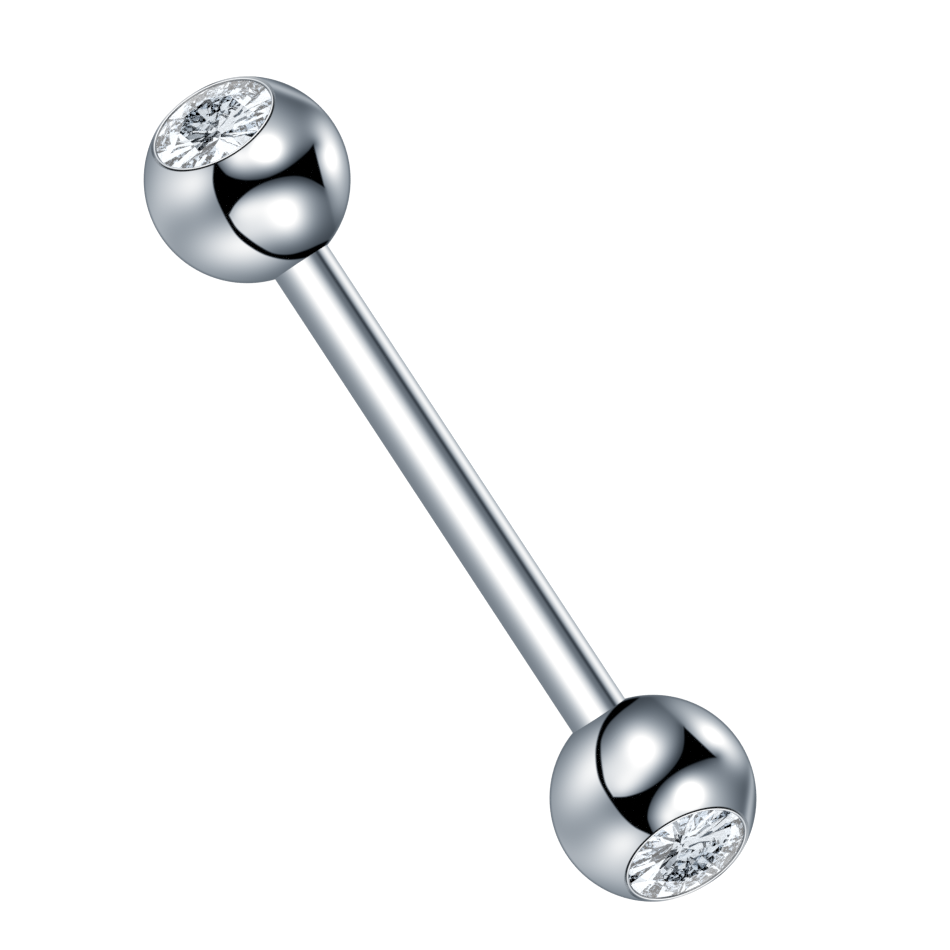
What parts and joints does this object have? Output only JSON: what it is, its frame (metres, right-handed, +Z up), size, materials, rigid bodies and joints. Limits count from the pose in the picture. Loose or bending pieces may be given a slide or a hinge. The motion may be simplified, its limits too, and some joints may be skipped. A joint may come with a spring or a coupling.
{
  "type": "tongue barbell",
  "caption": "Straight polished steel piercing bar with a screw-on ball at each end, and a round clear cut stone set in each ball. Lies on its side.",
  "frame": {"origin": "on the surface that the barbell lies on, below the middle of the bar", "axes": "+X along the bar towards the bottom ball, +Z up from the surface; both stones look up and outwards"},
  "size_m": [0.0242, 0.0052, 0.0053],
  "materials": {
    "polished_steel": "mirror polished",
    "clear_stone": "cut and polished"
  },
  "bodies": {
    "bar": {"bar": "polished_steel"},
    "top_end": {"top_ball": "polished_steel", "top_stone": "clear_stone"},
    "bottom_end": {"bottom_ball": "polished_steel", "bottom_stone": "clear_stone"}
  },
  "joints": [
    {"name": "top_ball_off", "type": "slide", "parent": "bar", "child": "top_end", "axis": [-1, 0, 0], "range_m": [0, 0.018]},
    {"name": "bottom_ball_off", "type": "slide", "parent": "bar", "child": "bottom_end", "axis": [1, 0, 0], "range_m": [0, 0.018]}
  ]
}
